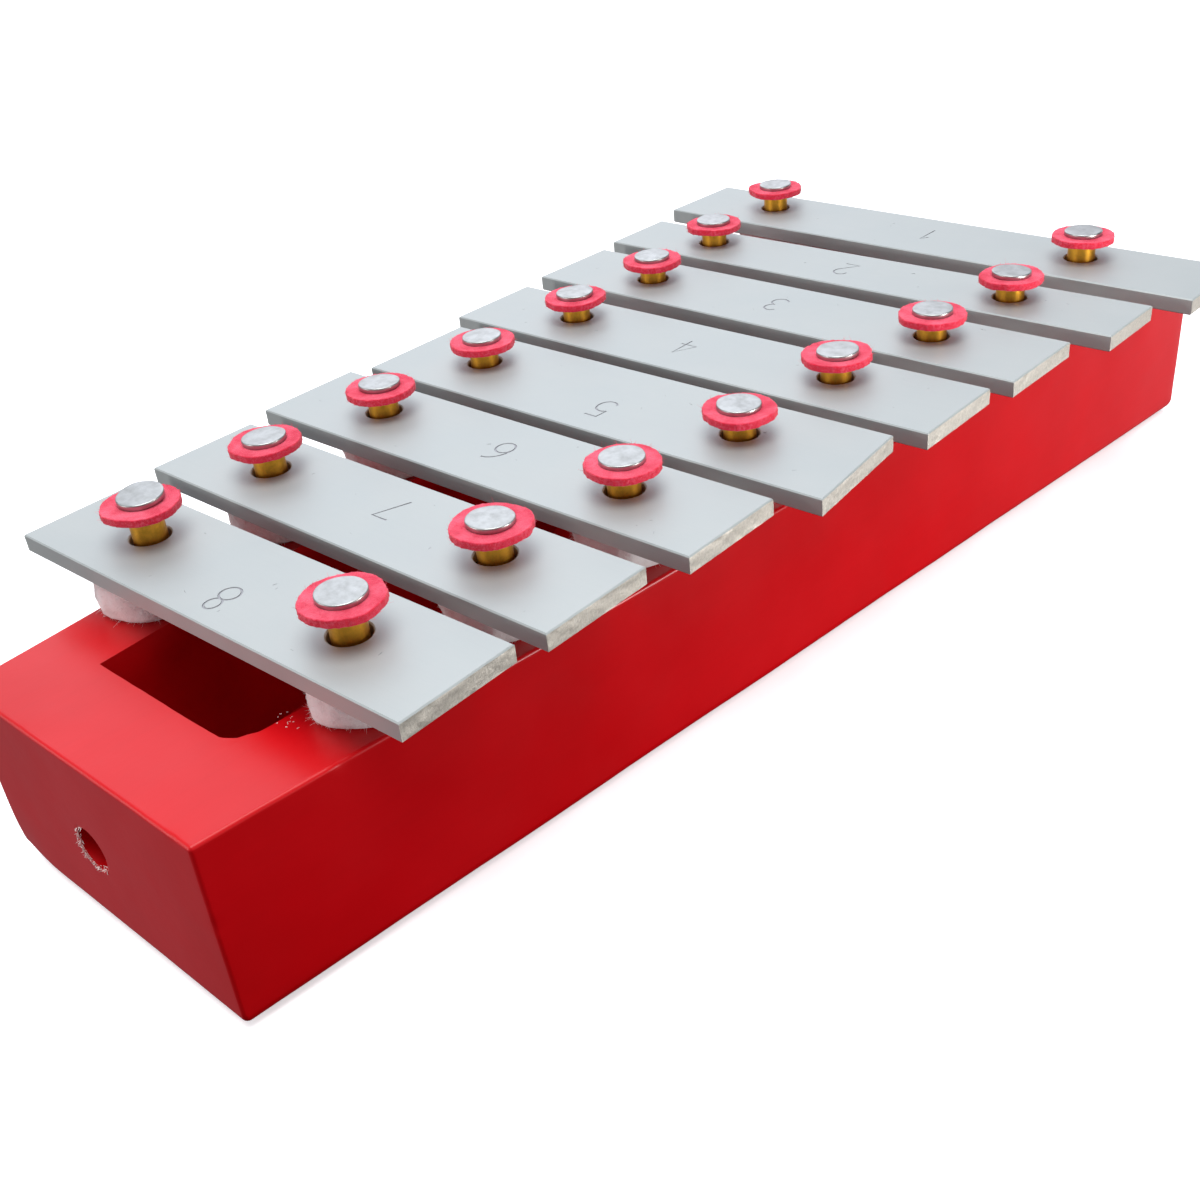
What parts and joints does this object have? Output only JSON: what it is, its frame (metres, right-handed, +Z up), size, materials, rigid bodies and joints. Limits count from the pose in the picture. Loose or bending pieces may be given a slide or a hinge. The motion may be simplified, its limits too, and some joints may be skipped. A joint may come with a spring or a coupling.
{
  "type": "metal-bar xylophone",
  "caption": "Tapered red resonator box carrying loose satin aluminium sound bars on felt washers, each held by flat-headed nails through brass tubes.",
  "frame": {"origin": "middle of the box's underside", "axes": "+Z up, +Y along the box from the short high bars to the long low bars, +X along the bars"},
  "size_m": [0.125, 0.2364, 0.048],
  "materials": {
    "painted_wood": "satin red paint",
    "bar_aluminium": "fine matt satin",
    "nail_aluminium": "bright, lightly dented",
    "tube_brass": "dull, slightly tarnished",
    "red_felt": "pressed wool felt",
    "white_felt": "thick soft wool felt"
  },
  "bodies": {
    "resonator_box": {"left_side_rail": "painted_wood", "right_side_rail": "painted_wood", "high_end_block": "painted_wood", "low_end_block": "painted_wood", "base_panel": "painted_wood", "nails_c7": "nail_aluminium", "spacer_tubes_c7": "tube_brass", "top_felts_c7": "red_felt", "base_felts_c7": "white_felt", "nails_b6": "nail_aluminium", "spacer_tubes_b6": "tube_brass", "top_felts_b6": "red_felt", "base_felts_b6": "white_felt", "nails_a6": "nail_aluminium", "spacer_tubes_a6": "tube_brass", "top_felts_a6": "red_felt", "base_felts_a6": "white_felt", "nails_g6": "nail_aluminium", "spacer_tubes_g6": "tube_brass", "top_felts_g6": "red_felt", "base_felts_g6": "white_felt", "nails_f6": "nail_aluminium", "spacer_tubes_f6": "tube_brass", "top_felts_f6": "red_felt", "base_felts_f6": "white_felt", "nails_e6": "nail_aluminium", "spacer_tubes_e6": "tube_brass", "top_felts_e6": "red_felt", "base_felts_e6": "white_felt", "nails_d6": "nail_aluminium", "spacer_tubes_d6": "tube_brass", "top_felts_d6": "red_felt", "base_felts_d6": "white_felt", "nails_c6": "nail_aluminium", "spacer_tubes_c6": "tube_brass", "top_felts_c6": "red_felt", "base_felts_c6": "white_felt"},
    "c7_bar": {"bar_c7": "bar_aluminium"},
    "b6_bar": {"bar_b6": "bar_aluminium"},
    "a6_bar": {"bar_a6": "bar_aluminium"},
    "g6_bar": {"bar_g6": "bar_aluminium"},
    "f6_bar": {"bar_f6": "bar_aluminium"},
    "e6_bar": {"bar_e6": "bar_aluminium"},
    "d6_bar": {"bar_d6": "bar_aluminium"},
    "c6_bar": {"bar_c6": "bar_aluminium"}
  },
  "joints": [
    {"name": "c7_bar_lift", "type": "slide", "parent": "resonator_box", "child": "c7_bar", "axis": [0, 0, 1], "range_m": [0, 0.0043]},
    {"name": "b6_bar_lift", "type": "slide", "parent": "resonator_box", "child": "b6_bar", "axis": [0, 0, 1], "range_m": [0, 0.0037]},
    {"name": "a6_bar_lift", "type": "slide", "parent": "resonator_box", "child": "a6_bar", "axis": [0, 0, 1], "range_m": [0, 0.0033]},
    {"name": "g6_bar_lift", "type": "slide", "parent": "resonator_box", "child": "g6_bar", "axis": [0, 0, 1], "range_m": [0, 0.003]},
    {"name": "f6_bar_lift", "type": "slide", "parent": "resonator_box", "child": "f6_bar", "axis": [0, 0, 1], "range_m": [0, 0.003]},
    {"name": "e6_bar_lift", "type": "slide", "parent": "resonator_box", "child": "e6_bar", "axis": [0, 0, 1], "range_m": [0, 0.0029]},
    {"name": "d6_bar_lift", "type": "slide", "parent": "resonator_box", "child": "d6_bar", "axis": [0, 0, 1], "range_m": [0, 0.0029]},
    {"name": "c6_bar_lift", "type": "slide", "parent": "resonator_box", "child": "c6_bar", "axis": [0, 0, 1], "range_m": [0, 0.0033]}
  ]
}
